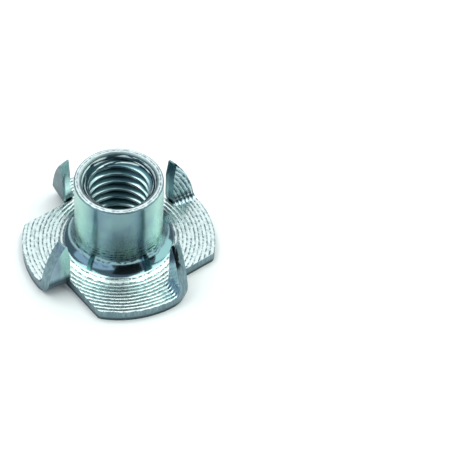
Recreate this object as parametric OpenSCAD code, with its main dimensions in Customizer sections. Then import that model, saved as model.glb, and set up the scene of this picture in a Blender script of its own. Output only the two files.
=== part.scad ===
// Four-prong tee nut for wood, drawn and stamped from one disc of sheet steel.
// The barrel is drawn up out of the disc and tapped, and what is left of the disc is the flange.
// Four tongues are sheared out of the flange's rim and folded up beside the barrel as prongs.
// The origin is the centre of the flange's flat outer face, and the barrel points along +Z.

/* [Flange] */
// Diameter of the flange
flange_d = 22; // [20:0.5:28]
// Thickness of the sheet in the flange
flange_t = 1.3; // [0.9:0.1:1.8]

/* [Barrel] */
// Height of the whole nut, from the flange's outer face to the lip of the barrel
height = 11; // [9.5:0.1:16]
// Outer diameter of the barrel
barrel_d = 10; // [9.4:0.1:11]
// Radius between the barrel and the flange
foot_r = 2.4; // [1:0.1:3]
// Radius round the outside of the lip
lip_r = 0.2; // [0.1:0.05:0.4]

/* [Bore] */
// Bore before tapping, the minor diameter of M8 x 1.25
bore_d = 6.65; // [6:0.05:7.2]
// Diameter of the countersink in the lip
sink_d = 8.85; // [8:0.05:9]
// Diameter at which the outer face turns in to the bore
mouth_d = 10.3; // [9.8:0.1:11]
// Radius of that turn, left where the barrel was drawn out of the sheet
mouth_r = 1.15; // [0.8:0.05:1.3]

/* [Notches] */
// How far round the rim from its prong a notch ends, in degrees
cut_turn = 32.5; // [28:0.5:45]
// Radius in the inner corner of a notch
notch_r = 0.8; // [0.3:0.1:1]
// Radius where a notch runs out into the rim
rim_corner_r = 1; // [0.3:0.1:2]

/* [Prongs] */
// Distance from the axis to the inner edge of a prong
prong_in = 8.4; // [7.4:0.1:9]
// Angle between a prong and the radius through its inner edge
prong_skew = 18.5; // [0:0.5:25]
// Thickness of a prong
prong_t = 1.2; // [0.9:0.1:1.4]
// Height of a prong's tip above the flange
prong_h = 6; // [4:0.1:8]
// Height up to which its inner edge is upright
edge_h = 3.9; // [2:0.1:6]
// How far the inner edge leans out above that
tip_lean = 0.3; // [0.2:0.05:1]
// Width of the tip
tip_w = 0.2; // [0.2:0.1:0.8]
// Height up to which its outer edge follows the rim
rim_h = 0.3; // [0.1:0.1:1]
// Radius of the outer edge above that
outer_r = 13; // [10:0.5:20]
// Inner radius of the fold at the foot of a prong
fold_r = 0.8; // [0.3:0.1:1.5]
// Outer radius of that fold
fold_out_r = 2.2; // [1.5:0.1:3]

/* [Hidden] */
$fn = 128;
flange_r = flange_d / 2;
barrel_r = barrel_d / 2;
bore_r = bore_d / 2;
sink_r = sink_d / 2;
mouth_at = mouth_d / 2;
prongs = 4;
first_at = 45;
// How far a cut runs past what it cuts
over = 1;
// How far a round sinks into the faces it blends, so that it crosses them cleanly
bite = 0.01;

function turned(p, a) = [p.x * cos(a) - p.y * sin(a), p.x * sin(a) + p.y * cos(a)];

// What a fillet of radius r adds in the corner at the origin of two walls along +X and +Y
module inner_fillet(r) {
    difference() {
        translate([-bite, -bite]) square(r + bite);
        translate([r, r]) circle(r + bite);
    }
}

// Half section of the drawn nut before its rim is notched, radius along X and height along Y
module drawn_section() {
    difference() {
        union() {
            square([flange_r, flange_t]);
            square([barrel_r, height]);
            translate([barrel_r, flange_t]) inner_fillet(foot_r);
        }
        translate([barrel_r, height]) rotate(180) inner_fillet(lip_r);
        bore_section();
    }
}

// Half section of the way through the nut: the rounded mouth, the bore and the countersink
module bore_section() {
    throat = mouth_at - mouth_r;
    difference() {
        translate([0, -over]) square([mouth_at, over + mouth_r]);
        translate([mouth_at, mouth_r]) circle(mouth_r);
    }
    polygon([
        [0, 0], [throat, mouth_r], [bore_r, mouth_r + throat - bore_r], [bore_r, height - sink_r + bore_r],
        [sink_r, height], [sink_r, height + over], [0, height + over]
    ]);
}

// Plan of one notch, for a prong whose inner edge is on +X: in along the fold and out along a straight cut
module notch_plan() {
    corner = [prong_in, 0] - turned([0, prong_t / 2 + fold_r / 2], -prong_skew);
    fold = turned([1, 0], -prong_skew);
    rim = flange_r * [cos(cut_turn), sin(cut_turn)];
    along = (rim - corner) / norm(rim - corner);
    mid = (along + fold) / norm(along + fold);
    half = acos(along * fold) / 2;
    centre = corner + mid * notch_r / sin(half);
    tangent_at = notch_r / tan(half);
    difference() {
        polygon([corner, corner + flange_r * along, corner + flange_r * mid, corner + flange_r * fold]);
        difference() {
            polygon([corner, corner + tangent_at * along, centre, corner + tangent_at * fold]);
            translate(centre) circle(notch_r + bite);
        }
    }
    rim_corner(corner, along, rim);
}

// What rounds the corner between a cut and the rim; the flange lies on the left of the cut
module rim_corner(from, along, rim) {
    r = rim_corner_r;
    side = turned(along, 90);
    start = from + r * side;
    start_at = start * along;
    reach = sqrt(start_at * start_at - start * start + pow(flange_r - r, 2)) - start_at;
    centre = start + reach * along;
    outward = centre / norm(centre);
    difference() {
        polygon([centre, centre - r * side, rim + over * rim / flange_r, centre + (r + over) * outward]);
        translate(centre) circle(r + bite);
    }
}

// Section across the fold line, from the flange's outer face up: the prong, and under the fold the foot
// that ties it to the flange, since the notch ends halfway under the fold's inner radius
module fold_section() {
    translate([-prong_t / 2, 0]) square([prong_t, flange_t + prong_h]);
    translate([-prong_t / 2 - fold_r, 0]) square([fold_r, flange_t - bite]);
    translate([-prong_t / 2, flange_t]) mirror([1, 0]) inner_fillet(fold_r);
}

// Half section of the ring that the prongs are cut from, radius along X and height along Y
module prong_ring_section() {
    tip_in = prong_in + tip_lean;
    tip = [tip_in + tip_w, flange_t + prong_h];
    foot = [flange_r, flange_t + rim_h];
    chord = foot - tip;
    inward = [chord.y, -chord.x] / norm(chord);
    centre = (tip + foot) / 2 + inward * sqrt(outer_r * outer_r - chord * chord / 4);
    intersection() {
        polygon([
            [prong_in, 0], [flange_r, 0], [flange_r, tip.y], [tip_in, tip.y], [prong_in, flange_t + edge_h]
        ]);
        union() {
            translate(centre) circle(outer_r);
            square([flange_r, flange_t + rim_h / 2]);
        }
    }
}

// Draws a section out along the fold line of each prong, from inside its inner edge to past the rim
module along_folds() {
    reach = flange_r - prong_in + 2 * over;
    for (i = [0 : prongs - 1])
        rotate(first_at + i * 360 / prongs) translate([prong_in, 0, 0]) rotate(-prong_skew)
            translate([-over, 0, 0]) rotate([90, 0, 90]) linear_extrude(over + reach) children();
}

// The drawn nut with its rim notched, before the prongs stand up
module notched_nut() {
    difference() {
        rotate_extrude() drawn_section();
        for (i = [0 : prongs - 1])
            rotate(first_at + i * 360 / prongs)
                translate([0, 0, -over]) linear_extrude(flange_t + 2 * over) notch_plan();
    }
}

module prongs_and_folds() {
    intersection() {
        along_folds() fold_section();
        rotate_extrude() prong_ring_section();
    }
}

// What rounds the outer side of the folds, up to the prongs' inner edges
module fold_rounds() {
    difference() {
        along_folds() translate([prong_t / 2, 0]) mirror([1, 0]) inner_fillet(fold_out_r);
        translate([0, 0, -over]) cylinder(r = prong_in, h = fold_out_r + 2 * over);
    }
}

module tee_nut() {
    color("gainsboro")
    difference() {
        union() {
            notched_nut();
            prongs_and_folds();
        }
        fold_rounds();
    }
}

tee_nut();
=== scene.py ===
# %% [markdown]
# # A zinc-plated tee nut
# A tee nut is pressed into a hole in wood and gives a machine screw a steel thread to pull on.
# It is stamped from one disc of sheet steel: the barrel is drawn up out of the middle and tapped, and
# four tongues of the rim are folded up as prongs that bite into the wood. The solid comes from the CAD
# frame. This lesson gives it what the solid leaves out: the thread, the broken edges and the plating.

import math

import bmesh
import bpy
from mathutils import Matrix, Vector


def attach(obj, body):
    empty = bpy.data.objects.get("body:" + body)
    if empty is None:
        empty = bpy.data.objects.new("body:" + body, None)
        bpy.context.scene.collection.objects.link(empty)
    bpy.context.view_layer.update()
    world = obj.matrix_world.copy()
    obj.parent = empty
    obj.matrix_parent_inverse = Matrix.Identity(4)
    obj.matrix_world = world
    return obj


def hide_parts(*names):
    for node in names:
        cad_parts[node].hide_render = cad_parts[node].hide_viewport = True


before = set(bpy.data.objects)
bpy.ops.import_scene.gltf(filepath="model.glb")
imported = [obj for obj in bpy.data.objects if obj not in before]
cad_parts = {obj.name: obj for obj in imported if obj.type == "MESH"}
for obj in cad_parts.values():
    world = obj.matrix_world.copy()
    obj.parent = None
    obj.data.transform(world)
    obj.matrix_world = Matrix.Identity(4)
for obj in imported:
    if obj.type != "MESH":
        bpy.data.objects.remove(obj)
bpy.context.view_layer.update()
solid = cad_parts["tee_nut"]
MM = 0.001
print("the solid has", len(solid.data.polygons), "triangles")

# %% [markdown]
# ## The camera
# A small shiny part is best seen from far off through a long lens, so that it keeps its proportions.
# The camera looks down at the nut from 48 degrees and is then turned to the right about its own
# upright axis, which leaves the barrel standing straight in the left half of the frame.

# %% Camera
FRAME_PX = 470
PX_PER_MM = 8.75
CAMERA_DISTANCE = 240 * MM
CAMERA_HEIGHT_DEG = 48.3
CAMERA_AZIMUTH_DEG = -0.8
NUT_AT_PX = (118.9, 238.65)
SENSOR_MM = 36
SHEET = 1.3 * MM

elevation = math.radians(CAMERA_HEIGHT_DEG)
azimuth = math.radians(CAMERA_AZIMUTH_DEG)
aim = Vector((0, 0, SHEET))
right = Vector((math.cos(azimuth), math.sin(azimuth), 0))
back = Vector((right.y, -right.x, 0)) * math.cos(elevation) + Vector((0, 0, math.sin(elevation)))
upward = back.cross(right)

camera_data = bpy.data.cameras.new("camera")
camera_data.sensor_width = SENSOR_MM
camera_data.lens = camera_data.sensor_width * CAMERA_DISTANCE / (FRAME_PX / PX_PER_MM * MM)
camera_data.clip_start = 10 * MM
camera_data.clip_end = 20
camera = bpy.data.objects.new("camera", camera_data)
bpy.context.collection.objects.link(camera)
bpy.context.scene.camera = camera

off_right = (FRAME_PX / 2 - NUT_AT_PX[0]) / PX_PER_MM * MM
off_up = (NUT_AT_PX[1] - FRAME_PX / 2) / PX_PER_MM * MM
seen_from_nut = Matrix((right, upward, back)).transposed()
pan = math.atan(off_right / CAMERA_DISTANCE)
turn = Matrix.Rotation(-pan, 3, "Y")
tilt = Matrix.Rotation(math.atan(off_up / CAMERA_DISTANCE), 3, "X")
facing = (seen_from_nut @ turn @ tilt).to_4x4()
camera.matrix_world = Matrix.Translation(aim + back * CAMERA_DISTANCE) @ facing
print("lens", round(camera_data.lens, 1), "mm, turned", round(math.degrees(pan), 2), "degrees")


# %% [markdown]
# ## Helpers
# An operator acts on everything that is selected, and the loaded frame is selected all over. So each
# step first picks the one object that it works on.

# %% Helpers for the mesh
def pick(obj):
    """Makes obj the only selected object, and the active one."""
    bpy.ops.object.select_all(action="DESELECT")
    obj.select_set(True)
    bpy.context.view_layer.objects.active = obj


def apply_modifiers(obj):
    """Applies all of obj's modifiers in their order."""
    pick(obj)
    for m in list(obj.modifiers):
        bpy.ops.object.modifier_apply(modifier=m.name)


# %% [markdown]
# ## The body
# The solid is loose triangles, so a copy of it is merged, and triangles that lie in one plane become one
# face again. The real nut leaves the press with slightly rolled edges, and the plating softens them
# more. A hard CAD edge catches no light, so a bevel of 0.07 mm goes along each of them.

# %% Copy the solid and merge it
MERGE_WITHIN = 0.002 * MM
ONE_PLANE_DEG = 0.5
body = solid.copy()
body.data = solid.data.copy()
body.name = "nut"
body.data.name = "nut"
bpy.context.collection.objects.link(body)
pick(body)
bpy.ops.object.mode_set(mode="EDIT")
bpy.ops.mesh.select_all(action="SELECT")
bpy.ops.mesh.remove_doubles(threshold=MERGE_WITHIN)
bpy.ops.mesh.dissolve_limited(angle_limit=math.radians(ONE_PLANE_DEG))
bpy.ops.object.mode_set(mode="OBJECT")
print("merged:", len(body.data.vertices), "corners and", len(body.data.polygons), "faces")

# %% Break the edges
EDGE_BREAK = 0.07 * MM
SHARP_DEG = 32
bpy.ops.object.mode_set(mode="EDIT")
bpy.ops.mesh.select_mode(type="EDGE")
bpy.ops.mesh.select_all(action="DESELECT")
bpy.ops.mesh.edges_select_sharp(sharpness=math.radians(SHARP_DEG))
bpy.ops.mesh.bevel(offset=EDGE_BREAK, offset_type="OFFSET", segments=2, affect="EDGES",
                   clamp_overlap=True)
bpy.ops.object.mode_set(mode="OBJECT")
print("broken edges:", len(body.data.vertices), "corners and", len(body.data.polygons), "faces")

# %% [markdown]
# ## The thread
# A tap cuts the thread after the barrel is drawn. The same is done here: one turn of the tap's tooth
# is wound up the bore by a Screw modifier, and the coil is cut out of the body. The tooth is that of
# M8 x 1.25, with 60 degrees between its flanks, a minor radius of 3.325 and a major radius of 4 mm. It
# starts a little inside the bore, so that the cut leaves no skin.

# %% Tap
PITCH = 1.25 * MM
MINOR_R = 3.325 * MM
MAJOR_R = 4.0 * MM
HEIGHT = 11 * MM
ROOT_FLAT = PITCH / 8
TOOTH_IN_R = 3.1 * MM
FLANK_DEG = 30
TURNS = 11
STEPS_A_TURN = 96
half_tip = ROOT_FLAT / 2
half_base = half_tip + (MAJOR_R - TOOTH_IN_R) * math.tan(math.radians(FLANK_DEG))

tooth = [(MAJOR_R, -half_tip), (MAJOR_R, half_tip), (TOOTH_IN_R, half_base), (TOOTH_IN_R, -half_base)]
tap_mesh = bpy.data.meshes.new("tap")
tap_mesh.from_pydata([(r, 0, z - PITCH) for r, z in tooth], [(0, 1), (1, 2), (2, 3), (3, 0)], [])
tap = bpy.data.objects.new("tap", tap_mesh)
bpy.context.collection.objects.link(tap)
wind = tap.modifiers.new("wind", "SCREW")
wind.axis = "Z"
wind.angle = math.tau
wind.screw_offset = PITCH
wind.iterations = TURNS
wind.steps = wind.render_steps = STEPS_A_TURN
apply_modifiers(tap)
bpy.ops.object.mode_set(mode="EDIT")
bpy.ops.mesh.select_mode(type="EDGE")
bpy.ops.mesh.select_all(action="DESELECT")
bpy.ops.mesh.select_non_manifold(extend=False)
bpy.ops.mesh.edge_face_add()
bpy.ops.mesh.select_all(action="SELECT")
bpy.ops.mesh.normals_make_consistent(inside=False)
bpy.ops.object.mode_set(mode="OBJECT")
tap_top = max(v.co.z for v in tap_mesh.vertices)
print("tap:", len(tap_mesh.polygons), "faces, top at", round(tap_top / MM, 2), "mm")

# %% Cut the thread
cut = body.modifiers.new("cut the thread", "BOOLEAN")
cut.operation = "DIFFERENCE"
cut.solver = "EXACT"
cut.object = tap
apply_modifiers(body)
bpy.data.objects.remove(tap)
print("threaded:", len(body.data.vertices), "corners and", len(body.data.polygons), "faces")

# %% [markdown]
# ## Smooth shading
# Faces that meet at a low angle are shaded as one surface. A large flat face next to a narrow bevel
# would look swollen, so the normals are weighted by area, and the large face keeps its own.

# %% Shade smooth
bpy.ops.object.shade_smooth_by_angle(angle=math.radians(SHARP_DEG))
flat_first = body.modifiers.new("large faces stay flat", "WEIGHTED_NORMAL")
flat_first.mode = "FACE_AREA"
flat_first.weight = 100
flat_first.keep_sharp = True
apply_modifiers(body)
print("sharp edges kept:", sum(e.use_edge_sharp for e in body.data.edges))

# %% [markdown]
# ## A closed mesh
# The nut's final mesh is tested for being closed: each edge should join exactly two faces. Its volume
# is a little less than the solid's, by the thread and the broken edges.

# %% Test the mesh
check = bmesh.new()
check.from_mesh(body.data)
open_edges = [e for e in check.edges if len(e.link_faces) != 2]
print("edges that don't join two faces:", len(open_edges))
print("volume in mm3:", round(check.calc_volume() / MM**3, 1))
check.free()

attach(body, "root")
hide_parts("tee_nut")


# %% [markdown]
# ## Where each finish goes
# The nut is one piece of steel in one coat of zinc, but each tool left its own kind of surface on it:
# the disc's two faces and the lip with their fine rings, the smooth drawn barrel, the sheared edges, the
# cut thread, and the prongs, whose outer sides and inner edges were rubbed smooth as they were folded.
# Each polygon gets the finish of the tool that made it, chosen by its place and normal.
# The rings were in the disc before the prongs stood up, so they run on over the folds. For that a UV
# map holds where each point of the faces lay, in mm from the axis, while the disc was still flat. On
# the prongs' sheared edges the same map holds how far a point is across and along its fold line.

# %% The prongs' own axes
PRONGS = 4
FIRST_PRONG_DEG = 45
QUARTER_DEG = 90
PRONG_IN = 8.4
PRONG_SKEW_DEG = 18.5
HALF_PRONG = 0.6
FOLD_IN_R = 0.8
FOLD_OUT_R = 2.2
BEHIND_PRONG = 1.2
SHEET_MM = SHEET / MM


def prong_axes(k):
    """The foot of prong k's inner edge, the way out along its fold, and the way across it."""
    at = math.radians(FIRST_PRONG_DEG + QUARTER_DEG * k)
    out = at - math.radians(PRONG_SKEW_DEG)
    foot = PRONG_IN * Vector((math.cos(at), math.sin(at)))
    along = Vector((math.cos(out), math.sin(out)))
    return foot, along, Vector((-along.y, along.x))


def on_prong(place):
    """The number of the nearest prong, and how far the place is along and across its fold line."""
    flat = Vector(place[:2])
    k = int(math.degrees(math.atan2(flat.y, flat.x)) // QUARTER_DEG) % PRONGS
    found = []
    for i in (k, (k + 1) % PRONGS):
        foot, along, across = prong_axes(i)
        u, w = (flat - foot).dot(along), (flat - foot).dot(across)
        found.append((abs(w), i, u, w))
    in_reach = [f for f in found if f[2] > -BEHIND_PRONG]
    return min(in_reach)[1:] if in_reach else found[0][1:]


def unfold(place, side):
    """Where a point of a prong's inner (-1) or outer (+1) side lay in the flat disc."""
    i, u, w = on_prong(place)
    foot, along, across = prong_axes(i)
    if side < 0:
        r, start, h = FOLD_IN_R, -HALF_PRONG - FOLD_IN_R, place[2] - SHEET_MM
    else:
        r, start, h = FOLD_OUT_R, HALF_PRONG - FOLD_OUT_R, place[2]
    if w <= start:
        return foot + u * along + w * across
    if h < r:
        arc = r * math.acos(max(-1, min(1, 1 - h / r)))
    else:
        arc = r * math.pi / 2 + h - r
    return foot + u * along + (start + arc) * across


# %% Sort the polygons by finish
FINISHES = ("face", "back", "drawn", "sheared", "tapped", "bent", "lip", "prong", "inner", "wiped")
FACE, BACK, DRAWN, SHEARED, TAPPED, BENT, LIP, PRONG, INNER, WIPED = range(len(FINISHES))
HEIGHT_MM = HEIGHT / MM
FOOT_R = 2.4
BARREL_R = 5.0
LIP_R = 0.2
LIP_ZONE = 0.08
MOUTH_AT_R = 5.15
MOUTH_R = 1.15
BORE_WITHIN_R = 4.6
PRONGS_FROM_R = 8.0
ON_PLANE = 0.005
SLACK = 0.02
LEEWAY = 0.05


def finish_of(place, normal):
    """Which finish a polygon has, from its middle in mm and its normal."""
    r = math.hypot(place[0], place[1])
    z = place[2]
    if abs(normal[2]) > 0.99 and min(abs(z), abs(z - SHEET_MM)) < ON_PLANE:
        return FACE if normal[2] > 0 else BACK
    if z > HEIGHT_MM - LIP_ZONE and normal[2] > 0.3 or (z > HEIGHT_MM - LIP_R and r > BORE_WITHIN_R):
        return LIP
    if r < BORE_WITHIN_R and MOUTH_R + LEEWAY < z < HEIGHT_MM - LIP_ZONE:
        return TAPPED
    if r < BARREL_R + SLACK or (r < MOUTH_AT_R + LEEWAY and z < MOUTH_R + LEEWAY):
        return DRAWN
    if r < BARREL_R + FOOT_R + SLACK and z > SHEET_MM:
        return FACE

    # On the prongs the normal is split into its parts along and across the fold line
    i, u, w = on_prong(place)
    foot, along, across = prong_axes(i)
    b = normal[0] * along.x + normal[1] * along.y
    a = normal[0] * across.x + normal[1] * across.y
    near_fold = (u > -LEEWAY and r > PRONGS_FROM_R
                 and -HALF_PRONG - FOLD_OUT_R < w < HALF_PRONG + LEEWAY)
    if near_fold and z > SHEET_MM + ON_PLANE:
        if b < -0.5:
            return INNER
        if b > 0.5 or (normal[2] > 0.5 and w > -HALF_PRONG + SLACK):
            return SHEARED
        if a < 0:
            return WIPED if place[1] < 0 and z > SHEET_MM + FOLD_IN_R / 3 else PRONG
        return BENT
    under_fold = near_fold and w > HALF_PRONG - FOLD_OUT_R - SLACK / 2
    if under_fold and normal[2] < 0.3 and abs(b) < 0.5 and a > -0.3:
        return BACK if normal[2] < -0.75 else BENT
    if normal[2] > 0.95:
        return FACE
    return BACK if normal[2] < -0.7 else SHEARED


mesh = body.data
sheet_uv = mesh.uv_layers.new(name="sheet")
counts = [0] * len(FINISHES)
finishes = []
for polygon in mesh.polygons:
    middle = polygon.center / MM
    kind = finish_of(middle, polygon.normal)
    finishes.append(kind)
    counts[kind] += 1
    for loop in polygon.loop_indices:
        place = mesh.vertices[mesh.loops[loop].vertex_index].co / MM
        flat = Vector(place[:2])
        if kind == PRONG:
            flat = unfold(place, -1)
        elif kind == BACK and middle.z > ON_PLANE:
            flat = unfold(place, 1)
        elif kind == SHEARED and middle.z > SHEET_MM:
            i, u, w = on_prong(place)
            flat = Vector((w, u))
        sheet_uv.data[loop].uv = flat
print("polygons of each finish:", dict(zip(FINISHES, counts)))


# %% [markdown]
# ## Normals of the rounds
# A mirror finish shows each facet of a coarse round. The rounds of this nut are parts of cylinders and
# rings whose centres are known, so each corner on them is given the true normal of that round. The
# thread's flanks are true helical faces, so their normals are known as well. In the bore the Z of a
# polygon's normal tells them apart: 0 on the crests and roots, 0.71 on the cones, 0.87 on the flanks.

# %% True normals
INTO_PRONG = 0.3
CLOSE = 0.01
UPRIGHT_BELOW = 0.3
CONE_BELOW = 0.79


def round_normal(places):
    """The normal at each place if all of them lie on one of the nut's rounds, or None."""
    def ring(centre_r, centre_z, radius, outward):
        found = []
        for p in places:
            r = math.hypot(p.x, p.y)
            d = Vector((r - centre_r, p.z - centre_z))
            if abs(d.length - radius) > SLACK:
                return None
            d = d.normalized() * outward
            found.append(Vector((d.x * p.x / r, d.x * p.y / r, d.y)))
        return found

    def fold(centre_w, centre_z, radius, outward):
        found = []
        for p in places:
            i, u, w = on_prong(p)
            d = Vector((w - centre_w, p.z - centre_z))
            if u < -INTO_PRONG or abs(d.length - radius) > SLACK:
                return None
            across = prong_axes(i)[2]
            d = d.normalized() * outward
            found.append(Vector((d.x * across.x, d.x * across.y, d.y)))
        return found

    heights = [p.z for p in places]
    if all(abs(math.hypot(p.x, p.y) - BARREL_R) < CLOSE for p in places):
        return [Vector((p.x, p.y, 0)).normalized() for p in places]
    if min(heights) > SHEET_MM - CLOSE and max(heights) < SHEET_MM + FOOT_R + CLOSE:
        found = ring(BARREL_R + FOOT_R, SHEET_MM + FOOT_R, FOOT_R, -1)
        if found:
            return found
        found = fold(-HALF_PRONG - FOLD_IN_R, SHEET_MM + FOLD_IN_R, FOLD_IN_R, -1)
        if found:
            return found
    if min(heights) > HEIGHT_MM - LIP_R - CLOSE:
        return ring(BARREL_R - LIP_R, HEIGHT_MM - LIP_R, LIP_R, 1)
    if max(heights) < MOUTH_R + CLOSE:
        found = ring(MOUTH_AT_R, MOUTH_R, MOUTH_R, 1)
        if found:
            return found
    if max(heights) < FOLD_OUT_R + CLOSE:
        return fold(HALF_PRONG - FOLD_OUT_R, FOLD_OUT_R, FOLD_OUT_R, 1)
    return None


def bore_normal(place, slope):
    """The normal at a place on the thread or its cones; slope is the Z of its polygon's own normal."""
    r = math.hypot(place.x, place.y)
    inward = Vector((-place.x / r, -place.y / r, 0))
    if abs(slope) < UPRIGHT_BELOW:
        return inward
    up = Vector((0, 0, math.copysign(1, slope)))
    if abs(slope) < CONE_BELOW:
        return (inward + up).normalized()
    climb = PITCH / MM / math.tau / r * up.z
    lean = math.tan(math.radians(FLANK_DEG)) * inward
    return (up + lean + climb * Vector((-inward.y, inward.x, 0))).normalized()


corner_normals = [Vector(n.vector) for n in mesh.corner_normals]
mended = 0
for polygon, kind in zip(mesh.polygons, finishes):
    loops = list(polygon.loop_indices)
    places = [mesh.vertices[mesh.loops[i].vertex_index].co / MM for i in loops]
    if abs(polygon.normal.z) > 0.9999:
        continue
    if kind == TAPPED:
        true = [bore_normal(p, polygon.normal.z) for p in places]
    else:
        true = round_normal(places)
    if true and all(n.dot(polygon.normal) > 0.8 for n in true):
        mended += 1
        for i, n in zip(loops, true):
            corner_normals[i] = n
mesh.normals_split_custom_set(corner_normals)
print("polygons on rounds with true normals:", mended)

# %% [markdown]
# ## Materials
# Bright zinc is a thin, almost white metal coat with a cold tint from the bath it is sealed in. All
# of the finishes share that metal, and differ in how rough the steel was when it went into the bath.

# %% Helpers for materials
def linear(hex_colour):
    """An sRGB hex colour as the linear values that shaders use."""
    parts = [int(hex_colour[i:i + 2], 16) / 255 for i in (1, 3, 5)]
    return [c / 12.92 if c <= 0.04045 else ((c + 0.055) / 1.055) ** 2.4 for c in parts] + [1]


def node(tree, kind, links=None, **settings):
    """Adds a node, sets its properties and sockets (_1 is socket 1), and links what the links name."""
    n = tree.nodes.new("ShaderNode" + kind)
    for key, value in settings.items():
        if hasattr(n, key):
            setattr(n, key, value)
        else:
            n.inputs[int(key[1:]) if key[0] == "_" else key.replace("_", " ")].default_value = value
    for key, source in (links or {}).items():
        tree.links.new(source, n.inputs[key])
    return n


def material(name):
    """An empty node material and its node tree."""
    m = bpy.data.materials.new(name)
    m.use_nodes = True
    m.node_tree.nodes.clear()
    return m, m.node_tree

# %% [markdown]
# ## Marks of the drawing
# Where the steel flowed most, on the barrel's lower part and round its foot, the die left short level
# scratches. Relief as fine as that would break up the mirror image, so the marks are drawn in colour
# alone: dark lines 0.42 mm apart. One noise lets them wander up and down, and another breaks them up.
# The real ones are closer together, and are drawn as coarse as they need to be to show.

# %% Drawing marks
DRAWN_DARK = "#263A42"
MARK_PITCH = 0.42 * MM
MARK_SWING = 2.2


def drawing_marks(tree, fade):
    """A mask of short level scratches, as drawing through a die leaves them; fade is a node's output."""
    place = node(tree, "TexCoord")
    axial = node(tree, "SeparateXYZ", {"Vector": place.outputs["Object"]})
    steps = node(tree, "Math", {0: axial.outputs["Z"]}, operation="DIVIDE", _1=MARK_PITCH)
    wander = node(tree, "TexNoise", {"Vector": place.outputs["Object"]}, Scale=900.0, Detail=3.0)
    swing = node(tree, "Math", {0: wander.outputs["Fac"]}, operation="MULTIPLY", _1=MARK_SWING)
    uneven_steps = node(tree, "Math", {0: steps.outputs[0], 1: swing.outputs[0]}, operation="ADD")
    wave = node(tree, "Math", {0: uneven_steps.outputs[0]}, operation="PINGPONG", _1=0.5)
    line = node(tree, "MapRange", {"Value": wave.outputs[0]}, interpolation_type="SMOOTHSTEP",
                From_Min=0.16, From_Max=0.34, To_Min=1.0, To_Max=0.0)
    patches = node(tree, "TexNoise", {"Vector": place.outputs["Object"]}, Scale=1800.0, Detail=3.0)
    uneven = node(tree, "MapRange", {"Value": patches.outputs["Fac"]}, From_Min=0.42, From_Max=0.6)
    broken = node(tree, "Math", {0: line.outputs[0], 1: uneven.outputs[0]}, operation="MULTIPLY")
    return node(tree, "Math", {0: broken.outputs[0], 1: fade}, operation="MULTIPLY").outputs[0]


# %% [markdown]
# ## The ringed faces
# The disc is faced with a pointed tool that feeds 0.46 mm a turn, and the zinc follows the grooves.
# A groove is a soft wave 0.03 mm deep. Each wave mirrors a piece of the room as a bright line, and the
# bottom of each groove is painted darker, which is painted shade. The rings are drawn by the distance from
# the axis in the flat disc, so one function does the flange, the prongs that stand on it, the back and
# the lip. Round the barrel's foot the drawing has ironed the rings out, and the steel there is plain.

# %% Ringed zinc
RINGS_FROM = 6.25


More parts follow.
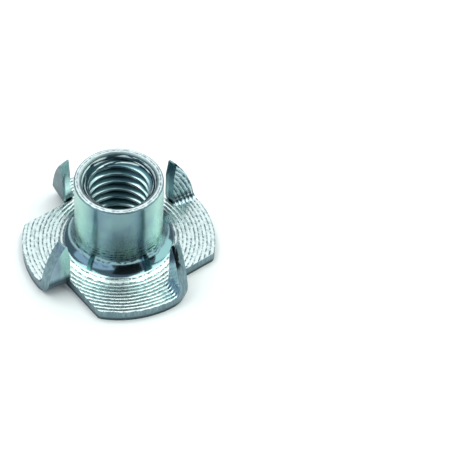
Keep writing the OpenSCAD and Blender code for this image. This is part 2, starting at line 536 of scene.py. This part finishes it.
def ringed_zinc(name, pitch_mm, depth_mm, bright, painted_groove_shade, valley_share, roughness, plain=None, rim=None):
    """Zinc with rings; plain is its colour inside RINGS_FROM, and rim the colour of the lip's round."""
    m, tree = material(name)
    flat = node(tree, "UVMap", uv_map="sheet")
    wobble = node(tree, "TexNoise", {"Vector": flat.outputs["UV"]}, Scale=0.55, Detail=1.0)
    radius = node(tree, "VectorMath", {0: flat.outputs["UV"]}, operation="LENGTH")
    swing = node(tree, "Math", {0: wobble.outputs["Fac"]}, operation="MULTIPLY", _1=0.25 * pitch_mm)
    shifted = node(tree, "Math", {0: radius.outputs["Value"], 1: swing.outputs[0]}, operation="ADD")
    turns = node(tree, "Math", {0: shifted.outputs[0]}, operation="DIVIDE", _1=pitch_mm)
    wave = node(tree, "Math", {0: turns.outputs[0]}, operation="PINGPONG", _1=0.5)
    crest = node(tree, "MapRange", {"Value": wave.outputs[0]}, interpolation_type="SMOOTHSTEP",
                 From_Min=0.0, From_Max=0.5)
    # This mask darkens the bottom of each groove: painted shade.
    groove = node(tree, "MapRange", {"Value": wave.outputs[0]}, interpolation_type="SMOOTHSTEP",
                  From_Min=0.5 * valley_share * 0.4, From_Max=0.5 * valley_share, To_Min=1.0, To_Max=0.0)
    patches = node(tree, "TexNoise", {"Vector": flat.outputs["UV"]}, Scale=2.6, Detail=3.0)
    uneven = node(tree, "MapRange", {"Value": patches.outputs["Fac"]},
                  From_Min=0.42, From_Max=0.58, To_Min=0.15, To_Max=1.0)
    ringed = node(tree, "MapRange", {"Value": radius.outputs["Value"]}, interpolation_type="SMOOTHSTEP",
                  From_Min=RINGS_FROM - 0.15, From_Max=RINGS_FROM + 0.1, To_Min=0.0 if plain else 1.0)
    patchy = node(tree, "Math", {0: groove.outputs[0], 1: uneven.outputs[0]}, operation="MULTIPLY")
    chatter = node(tree, "TexNoise", {"Vector": flat.outputs["UV"]}, Scale=1.9, Detail=2.0)
    skips = node(tree, "MapRange", {"Value": chatter.outputs["Fac"]}, From_Min=0.5, From_Max=0.62,
                 To_Min=0.0, To_Max=0.3)
    marked = node(tree, "Math", {0: patchy.outputs[0], 1: skips.outputs[0]}, operation="ADD",
                  use_clamp=True)
    dark = node(tree, "Math", {0: marked.outputs[0], 1: ringed.outputs[0]}, operation="MULTIPLY")
    land = node(tree, "Mix", {"Factor": ringed.outputs[0]}, data_type="RGBA")
    land.inputs[6].default_value = linear(plain or bright)
    land.inputs[7].default_value = linear(bright)
    colour = node(tree, "Mix", {"Factor": dark.outputs[0], 6: land.outputs[2]}, data_type="RGBA")
    colour.inputs[7].default_value = linear(painted_groove_shade)
    if rim:
        rounded = node(tree, "MapRange", {"Value": radius.outputs["Value"]},
                       interpolation_type="SMOOTHSTEP", From_Min=BARREL_R - 0.16, From_Max=BARREL_R - 0.04)
        colour = node(tree, "Mix", {"Factor": rounded.outputs[0], 6: colour.outputs[2]}, data_type="RGBA")
        colour.inputs[7].default_value = linear(rim)
    foot = node(tree, "MapRange", {"Value": radius.outputs["Value"]}, interpolation_type="SMOOTHSTEP",
                From_Min=5.1, From_Max=5.6, To_Min=0.9 if plain else 0.0, To_Max=0.0)
    colour = node(tree, "Mix", {"Factor": drawing_marks(tree, foot.outputs[0]), 6: colour.outputs[2]},
                  data_type="RGBA")
    colour.inputs[7].default_value = linear(DRAWN_DARK)
    worn = node(tree, "MapRange", {"Value": dark.outputs[0]}, To_Min=0.0, To_Max=0.2)
    base = node(tree, "MapRange", {"Value": ringed.outputs[0]}, To_Min=0.13, To_Max=roughness)
    gloss = node(tree, "Math", {0: base.outputs[0], 1: worn.outputs[0]}, operation="ADD")
    height = node(tree, "Math", {0: crest.outputs[0], 1: ringed.outputs[0]}, operation="MULTIPLY")
    relief = node(tree, "Bump", {"Height": height.outputs[0]}, Strength=1.0, Distance=depth_mm * MM)
    around = node(tree, "Tangent", direction_type="RADIAL", axis="Z")
    metal = node(tree, "BsdfPrincipled",
                 {"Base Color": colour.outputs[2], "Roughness": gloss.outputs[0],
                  "Normal": relief.outputs["Normal"], "Tangent": around.outputs["Tangent"]},
                 Metallic=1.0, Anisotropic=0.5, Anisotropic_Rotation=0.25)
    node(tree, "OutputMaterial", {"Surface": metal.outputs["BSDF"]})
    return m


# The fifth colour in each call below is the painted shade in the groove bottoms.
face_zinc = ringed_zinc("bright_zinc_on_faced_steel", 0.46, 0.028, "#D6E5E2", "#5F777C", 0.48, 0.26,
                        plain="#8FAEB5")
lip_zinc = ringed_zinc("bright_zinc_on_the_faced_lip", 0.26, 0.012, "#D0DCDC", "#5C7278", 0.55, 0.34,
                       rim="#6F8C94")
prong_zinc = ringed_zinc("bright_zinc_on_folded_prongs", 0.46, 0.032, "#B9D0D8", "#4E666C", 0.55, 0.22)
back_zinc = ringed_zinc("bright_zinc_on_the_pressed_back", 0.4, 0.02, "#D3DEDF", "#7C9094", 0.5, 0.25)

# %% [markdown]
# ## The drawn barrel
# The die irons the barrel smooth, and leaves marks round it far too fine to see one by one. They smear
# the mirror image up and down and leave it sharp from side to side, so the barrel shows upright bands.
# That is an anisotropic gloss, turned a quarter from the direction that runs round the axis.
# The barrel is painted lighter and greener on its two sides, and bluer between them: a painted
# reflection. That is a colour mixed in by the distance from the plane X = 0.

# %% Drawn zinc
drawn_zinc, tree = material("bright_zinc_on_drawn_steel")
place = node(tree, "TexCoord")
blotch = node(tree, "TexNoise", {"Vector": place.outputs["Object"]}, Scale=350.0, Detail=3.0)
tint = node(tree, "ValToRGB", {"Fac": blotch.outputs["Fac"]})
tint.color_ramp.elements[0].position = 0.35
tint.color_ramp.elements[0].color = linear("#7894A0")
tint.color_ramp.elements[1].position = 0.65
tint.color_ramp.elements[1].color = linear("#8EB2AE")
lines = node(tree, "Mapping", {"Vector": place.outputs["Object"]})
lines.inputs["Scale"].default_value = (300, 300, 9000)
marks = node(tree, "TexNoise", {"Vector": lines.outputs["Vector"]}, Scale=1.0, Detail=2.0)
axial = node(tree, "SeparateXYZ", {"Vector": place.outputs["Object"]})
low = node(tree, "MapRange", {"Value": axial.outputs["Z"]}, interpolation_type="SMOOTHSTEP",
           From_Min=4.0 * MM, From_Max=5.7 * MM, To_Min=0.9, To_Max=0.0)
sideways = node(tree, "Math", {0: axial.outputs["X"]}, operation="ABSOLUTE")
# Lighter, greener colour towards the barrel's two sides: a painted reflection.
painted_side_reflection = node(tree, "MapRange", {"Value": sideways.outputs[0]}, interpolation_type="SMOOTHSTEP",
             From_Min=2.8 * MM, From_Max=4.7 * MM)
coat = node(tree, "Mix", {"Factor": painted_side_reflection.outputs[0], 6: tint.outputs["Color"]}, data_type="RGBA")
coat.inputs[7].default_value = linear("#AAD0C6")
skin = node(tree, "Mix", {"Factor": drawing_marks(tree, low.outputs[0]), 6: coat.outputs[2]},
            data_type="RGBA")
skin.inputs[7].default_value = linear(DRAWN_DARK)
relief = node(tree, "Bump", {"Height": marks.outputs["Fac"]}, Strength=0.3, Distance=0.01 * MM)
gloss = node(tree, "MapRange", {"Value": blotch.outputs["Fac"]}, To_Min=0.2, To_Max=0.3)
around = node(tree, "Tangent", direction_type="RADIAL", axis="Z")
metal = node(tree, "BsdfPrincipled",
             {"Base Color": skin.outputs[2], "Roughness": gloss.outputs[0],
              "Normal": relief.outputs["Normal"], "Tangent": around.outputs["Tangent"]},
             Metallic=1.0, Anisotropic=0.75, Anisotropic_Rotation=0.25)
node(tree, "OutputMaterial", {"Surface": metal.outputs["BSDF"]})

# %% [markdown]
# ## The bent sides
# The outer side of each prong slid over the die as the prong was folded, and its inner edge over the
# punch. That wiped the rings off and left a burnished skin with faint scratches along its way up. Two
# prongs rubbed against the punch on their inner side too, and have lost the rings there. The colour is
# painted lighter on the nut's one side than on the other, which is painted light, and painted dark down
# in the fold, which is painted shade.

# %% Burnished zinc
def burnished_zinc(name, painted_light_along, bright, dull, rubbed, creased=0.9):
    """Wiped zinc painted light to dark along one axis as painted light, rubbed towards the rim, and
    painted shade in the crease.
    """
    m, tree = material(name)
    place = node(tree, "TexCoord")
    stretch = node(tree, "Mapping", {"Vector": place.outputs["Object"]})
    stretch.inputs["Scale"].default_value = (6000, 6000, 700)
    scratches = node(tree, "TexNoise", {"Vector": stretch.outputs["Vector"]}, Scale=1.0, Detail=3.0)
    blotch = node(tree, "TexNoise", {"Vector": place.outputs["Object"]}, Scale=600.0, Detail=2.0)
    split = node(tree, "SeparateXYZ", {"Vector": place.outputs["Object"]})
    # Lighter at one end of this axis and darker at the other: painted light.
    side = node(tree, "MapRange", {"Value": split.outputs[painted_light_along]},
                From_Min=-6 * MM, From_Max=6 * MM)
    uneven = node(tree, "MapRange", {"Value": blotch.outputs["Fac"]}, From_Min=0.35, From_Max=0.65,
                  To_Min=-0.12, To_Max=0.12)
    coat = node(tree, "Math", {0: side.outputs[0], 1: uneven.outputs[0]}, operation="ADD")
    sideways = node(tree, "Math", {0: split.outputs["X"]}, operation="ABSOLUTE")
    outside = node(tree, "MapRange", {"Value": sideways.outputs[0]}, interpolation_type="SMOOTHSTEP",
                   From_Min=6.3 * MM, From_Max=6.8 * MM)
    start = node(tree, "Mix", {"Factor": outside.outputs[0]}, data_type="RGBA")
    start.inputs[6].default_value = linear(bright)
    start.inputs[7].default_value = linear(rubbed)
    skin = node(tree, "Mix", {"Factor": coat.outputs[0], 6: start.outputs[2]}, data_type="RGBA")
    skin.inputs[7].default_value = linear(dull)
    # Darker down in the fold: painted shade.
    fold = node(tree, "MapRange", {"Value": split.outputs["Z"]}, interpolation_type="SMOOTHSTEP",
                From_Min=2.0 * MM, From_Max=2.9 * MM, To_Min=creased, To_Max=0.0)
    tint = node(tree, "Mix", {"Factor": fold.outputs[0], 6: skin.outputs[2]}, data_type="RGBA")
    tint.inputs[7].default_value = linear("#344E57")
    gloss = node(tree, "MapRange", {"Value": scratches.outputs["Fac"]}, To_Min=0.2, To_Max=0.38)
    relief = node(tree, "Bump", {"Height": scratches.outputs["Fac"]}, Strength=0.4, Distance=0.01 * MM)
    metal = node(tree, "BsdfPrincipled", {"Base Color": tint.outputs[2], "Roughness": gloss.outputs[0],
                                          "Normal": relief.outputs["Normal"]}, Metallic=1.0)
    node(tree, "OutputMaterial", {"Surface": metal.outputs["BSDF"]})
    return m


bent_zinc = burnished_zinc("bright_zinc_on_burnished_steel", "Y",
                           bright="#BCE2E0", dull="#436068", rubbed="#9CB6C4")
inner_zinc = burnished_zinc("bright_zinc_on_the_prongs_inner_edges", "X",
                            bright="#D8F0EE", dull="#4C6E76", rubbed="#D8F0EE")
wiped_zinc = burnished_zinc("bright_zinc_on_wiped_prongs", "Z",
                            bright="#A9C6D8", dull="#A9C6D8", rubbed="#A9C6D8", creased=0.0)

# %% [markdown]
# ## The sheared edges
# A punch cuts halfway through the sheet and tears the rest. The cut half is burnished, the torn half
# by the outer face is dull and grainy, and the zinc stays darker there. Towards the tips of the prongs
# on one side, the inner half of the sheared edge is darker in a streak with a frayed edge.

# %% Sheared zinc
sheared_zinc, tree = material("zinc_on_sheared_steel")
place = node(tree, "TexCoord")
grain = node(tree, "TexNoise", {"Vector": place.outputs["Object"]}, Scale=5000.0, Detail=3.0)
stretch = node(tree, "Mapping", {"Vector": place.outputs["Object"]})
stretch.inputs["Scale"].default_value = (4500, 4500, 500)
streaks = node(tree, "TexNoise", {"Vector": stretch.outputs["Vector"]}, Scale=1.0, Detail=2.0)
tint = node(tree, "ValToRGB", {"Fac": streaks.outputs["Fac"]})
tint.color_ramp.elements[0].position = 0.3
tint.color_ramp.elements[0].color = linear("#667E86")
tint.color_ramp.elements[1].position = 0.7
tint.color_ramp.elements[1].color = linear("#8AA1A7")
split = node(tree, "SeparateXYZ", {"Vector": place.outputs["Object"]})
ragged = node(tree, "Math", {0: streaks.outputs["Fac"]}, operation="MULTIPLY", _1=0.5 * MM)
above = node(tree, "Math", {0: split.outputs["Z"], 1: ragged.outputs[0]}, operation="SUBTRACT")
torn = node(tree, "MapRange", {"Value": above.outputs[0]}, interpolation_type="SMOOTHSTEP",
            From_Min=0.0, From_Max=0.3 * MM, To_Min=0.8, To_Max=0.0)
steel = node(tree, "Mix", {"Factor": torn.outputs[0], 6: tint.outputs["Color"]}, data_type="RGBA")
steel.inputs[7].default_value = linear("#33454C")
edge = node(tree, "UVMap", uv_map="sheet")
spot = node(tree, "SeparateXYZ", {"Vector": edge.outputs["UV"]})
frayed = node(tree, "Math", {0: streaks.outputs["Fac"], 1: spot.outputs["X"]}, operation="ADD")
inside = node(tree, "MapRange", {"Value": frayed.outputs[0]}, interpolation_type="SMOOTHSTEP",
              From_Min=0.25, From_Max=0.6, To_Min=1.0, To_Max=0.0)
high = node(tree, "MapRange", {"Value": split.outputs["Z"]}, interpolation_type="SMOOTHSTEP",
            From_Min=4.5 * MM, From_Max=5.3 * MM)
upper = node(tree, "Math", {0: inside.outputs[0], 1: high.outputs[0]}, operation="MULTIPLY")
one_side = node(tree, "MapRange", {"Value": split.outputs["X"]}, From_Min=3 * MM, From_Max=5 * MM)
smear = node(tree, "Math", {0: upper.outputs[0], 1: one_side.outputs[0]}, operation="MULTIPLY")
marked = node(tree, "Mix", {"Factor": smear.outputs[0], 6: steel.outputs[2]}, data_type="RGBA")
marked.inputs[7].default_value = linear("#141D22")
gloss = node(tree, "MapRange", {"Value": grain.outputs["Fac"]}, To_Min=0.3, To_Max=0.5)
relief = node(tree, "Bump", {"Height": streaks.outputs["Fac"]}, Strength=0.5, Distance=0.02 * MM)
metal = node(tree, "BsdfPrincipled", {"Base Color": marked.outputs[2], "Roughness": gloss.outputs[0],
                                      "Normal": relief.outputs["Normal"]}, Metallic=1.0)
node(tree, "OutputMaterial", {"Surface": metal.outputs["BSDF"]})

# %% [markdown]
# ## The tapped thread
# The tap works in cutting oil, and the flanks and the countersink are dull. The thread is painted darker
# from the crests down to the roots, which is painted shade, and a narrow light band just off each crest
# is a painted highlight. The thread is also painted lighter towards the nut's two sides and darker
# between them, which is painted light and shade. The countersink is painted dark, which is painted
# shade, and lighter along its top edge. It was cut with a coarse feed of 0.3 mm, which left rings in its
# relief, and their tops carry painted highlights in dashes.

# %% Tapped zinc
SINK_FEED = 0.3 * MM
tapped_zinc, tree = material("zinc_on_tapped_steel")
place = node(tree, "TexCoord")
axial = node(tree, "SeparateXYZ", {"Vector": place.outputs["Object"]})
across = node(tree, "CombineXYZ", {"X": axial.outputs["X"], "Y": axial.outputs["Y"]})
radius = node(tree, "VectorMath", {0: across.outputs["Vector"]}, operation="LENGTH")
stretch = node(tree, "Mapping", {"Vector": place.outputs["Object"]})
stretch.inputs["Scale"].default_value = (500, 500, 5000)
chatter = node(tree, "TexNoise", {"Vector": stretch.outputs["Vector"]}, Scale=1.0, Detail=3.0)
# Darker with depth from the crests to the roots of the thread: painted shade.
deep = node(tree, "MapRange", {"Value": radius.outputs["Value"]}, From_Min=MINOR_R, From_Max=MAJOR_R)
uneven = node(tree, "MapRange", {"Value": chatter.outputs["Fac"]}, From_Min=0.35, From_Max=0.65,
              To_Min=-0.05, To_Max=0.12)
# Lighter towards the nut's two sides and darker in the middle: painted light and shade.
sideways = node(tree, "Math", {0: axial.outputs["X"]}, operation="ABSOLUTE")
painted_side_light = node(tree, "MapRange", {"Value": sideways.outputs[0]}, interpolation_type="SMOOTHSTEP",
            From_Min=0.6 * MM, From_Max=2.8 * MM, To_Min=0.17, To_Max=-0.14)
patchy = node(tree, "Math", {0: deep.outputs[0], 1: uneven.outputs[0]}, operation="ADD")
coat = node(tree, "Math", {0: patchy.outputs[0], 1: painted_side_light.outputs[0]}, operation="ADD")
# On this ramp the light band just off the crests is a painted highlight, and the darker colours further in
# are painted shade.
thread = node(tree, "ValToRGB", {"Fac": coat.outputs[0]})
thread.color_ramp.elements[0].position = 0.0
thread.color_ramp.elements[0].color = linear("#A9C4CA")
thread.color_ramp.elements[1].position = 1.0
thread.color_ramp.elements[1].color = linear("#628893")
for at, shade in ((0.05, "#D6E8EA"), (0.14, "#A3BFC5"), (0.26, "#5A818D")):
    thread.color_ramp.elements.new(at).color = linear(shade)
steps = node(tree, "Math", {0: axial.outputs["Z"]}, operation="DIVIDE", _1=SINK_FEED)
wave = node(tree, "Math", {0: steps.outputs[0]}, operation="PINGPONG", _1=0.5)
line = node(tree, "MapRange", {"Value": wave.outputs[0]}, interpolation_type="SMOOTHSTEP",
            From_Min=0.16, From_Max=0.36)
broken = node(tree, "MapRange", {"Value": chatter.outputs["Fac"]}, From_Min=0.44, From_Max=0.54)
on_sink = node(tree, "MapRange", {"Value": axial.outputs["Z"]}, interpolation_type="SMOOTHSTEP",
               From_Min=9.8 * MM, From_Max=10.0 * MM)
dashes = node(tree, "Math", {0: line.outputs[0], 1: broken.outputs[0]}, operation="MULTIPLY")
shown = node(tree, "Math", {0: dashes.outputs[0], 1: on_sink.outputs[0]}, operation="MULTIPLY")
# The countersink's dark colour is painted shade.
cone = node(tree, "Mix", {"Factor": on_sink.outputs[0], 6: thread.outputs["Color"]}, data_type="RGBA")
cone.inputs[7].default_value = linear("#2C444D")
# Light dashes on the tops of the countersink's rings: painted highlights.
sink = node(tree, "Mix", {"Factor": shown.outputs[0], 6: cone.outputs[2]}, data_type="RGBA")
sink.inputs[7].default_value = linear("#D8E8EA")
edge = node(tree, "MapRange", {"Value": radius.outputs["Value"]}, interpolation_type="SMOOTHSTEP",
            From_Min=4.18 * MM, From_Max=4.32 * MM, To_Min=0.0, To_Max=0.9)
colour = node(tree, "Mix", {"Factor": edge.outputs[0], 6: sink.outputs[2]}, data_type="RGBA")
colour.inputs[7].default_value = linear("#C6D8D8")
rough = node(tree, "Bump", {"Height": chatter.outputs["Fac"]}, Strength=0.5, Distance=0.02 * MM)
cut = node(tree, "Math", {0: line.outputs[0], 1: on_sink.outputs[0]}, operation="MULTIPLY")
relief = node(tree, "Bump", {"Height": cut.outputs[0], "Normal": rough.outputs["Normal"]}, Strength=1.0,
              Distance=0.03 * MM)
gloss = node(tree, "MapRange", {"Value": coat.outputs[0]}, From_Min=0.1, From_Max=0.3,
             To_Min=0.3, To_Max=0.55)
metal = node(tree, "BsdfPrincipled", {"Base Color": colour.outputs[2], "Roughness": gloss.outputs[0],
                                      "Normal": relief.outputs["Normal"]}, Metallic=1.0)
node(tree, "OutputMaterial", {"Surface": metal.outputs["BSDF"]})

# %% [markdown]
# ## The finishes on their polygons
# The materials go on the nut in the order of the finishes' names, so that the number that each polygon
# was given above is also the number of its material.

# %% Put them on
body.data.materials.clear()
for zinc in (face_zinc, back_zinc, drawn_zinc, sheared_zinc, tapped_zinc, bent_zinc,
             lip_zinc, prong_zinc, inner_zinc, wiped_zinc):
    body.data.materials.append(zinc)
body.data.polygons.foreach_set("material_index", finishes)
print("materials on the nut:", len(body.data.materials), "for", len(FINISHES), "finishes")

# %% [markdown]
# ## The table
# The nut stands on a large sheet of matt white paper, which shows a soft shadow and no mirror image.
# Two faces in one plane flicker through each other, so the sheet lies a hair above the nut's flat face.

# %% Floor
FLOOR_LIFT = 0.005 * MM
bpy.ops.object.select_all(action="DESELECT")
bpy.ops.mesh.primitive_circle_add(vertices=96, radius=3, fill_type="NGON", location=(0, 0, FLOOR_LIFT))
floor = bpy.context.object
floor.name = "floor"
white, tree = material("white_paper")
paper = node(tree, "BsdfPrincipled", Roughness=0.9)
paper.inputs["Base Color"].default_value = linear("#FAFAFA")
node(tree, "OutputMaterial", {"Surface": paper.outputs["BSDF"]})
floor.data.materials.append(white)
print("floor:", round(floor.dimensions.x, 1), "m across")

# %% [markdown]
# ## The light
# Bright metal shows its surroundings, so the light is made for what the nut mirrors. Its top faces
# mirror the room behind it, and the barrel mirrors the table and, by way of the flange, both sides.
# So large soft boxes hang behind, above and at the sides, and the side of the camera is left dim.

# %% Lamps
BOX_DISTANCE = 0.6


def around_nut(azimuth, height, distance):
    """A place around the nut. Azimuth 0 is behind the camera and 90 on its right, height is in degrees."""
    a, e = math.radians(azimuth), math.radians(height)
    return Vector((math.sin(a) * math.cos(e), -math.cos(a) * math.cos(e), math.sin(e))) * distance


def softbox(name, azimuth, height, width, tall, radiance, colour="#FFFFFF"):
    """A rectangular lamp that faces the nut, as bright as radiance from all sides."""
    place = around_nut(azimuth, height, BOX_DISTANCE)
    lamp = bpy.data.lights.new(name, "AREA")
    lamp.shape = "RECTANGLE"
    lamp.size, lamp.size_y = width, tall
    lamp.energy = radiance * math.pi * width * tall
    lamp.color = linear(colour)[:3]
    obj = bpy.data.objects.new(name, lamp)
    obj.location = place
    obj.rotation_euler = place.to_track_quat("Z", "Y").to_euler()
    bpy.context.collection.objects.link(obj)
    print(name, round(lamp.energy, 2), "W")


softbox("back_box", 180, 50, 0.8, 0.55, 1.08)
softbox("top_box", 180, 84, 0.6, 0.35, 1.35)
softbox("left_box", -95, 60, 0.5, 0.42, 2.1, "#F4FFF4")
softbox("right_box", 90, 60, 0.5, 0.42, 2.1, "#F4FFF4")
softbox("low_left_box", -56, 18, 1.05, 0.4, 0.75, "#DDE8FF")
softbox("low_right_box", 102, 18, 0.5, 0.4, 1.3, "#E6FFF2")

# %% [markdown]
# ## What the nut mirrors as black
# Metal looks like metal only next to something dark. A black card behind the camera and a small one
# low on the right give the foot of the barrel its dark patch and the prongs their dark sides.

# %% Black cards
CARD_DISTANCE = 0.5
black, tree = material("black_felt")
felt = node(tree, "BsdfPrincipled", Roughness=0.95)
felt.inputs["Base Color"].default_value = linear("#0A0A0C")
node(tree, "OutputMaterial", {"Surface": felt.outputs["BSDF"]})
for name, azimuth, height, wide, tall in (("card_behind_camera", 18, 28, 0.45, 0.5),
                                          ("low_card", 64, 5, 0.22, 0.16)):
    place = around_nut(azimuth, height, CARD_DISTANCE)
    bpy.ops.object.select_all(action="DESELECT")
    bpy.ops.mesh.primitive_plane_add(size=1, location=place,
                                     rotation=place.to_track_quat("Z", "Y").to_euler())
    card = bpy.context.object
    card.name = name
    card.scale = (wide, tall, 1)
    card.data.materials.append(black)
    print(name, wide, "x", tall, "m")

# %% [markdown]
# ## The room
# The world stands for the rest of the room: a dim, slightly blue light from all sides.

# %% Room
world = bpy.data.worlds.new("studio")
bpy.context.scene.world = world
world.use_nodes = True
world.node_tree.nodes.clear()
air = node(world.node_tree, "Background", Strength=0.3)
air.inputs["Color"].default_value = linear("#C6D8EC")
node(world.node_tree, "OutputWorld", {"Surface": air.outputs["Background"]})
bpy.context.scene.view_settings.view_transform = "Standard"
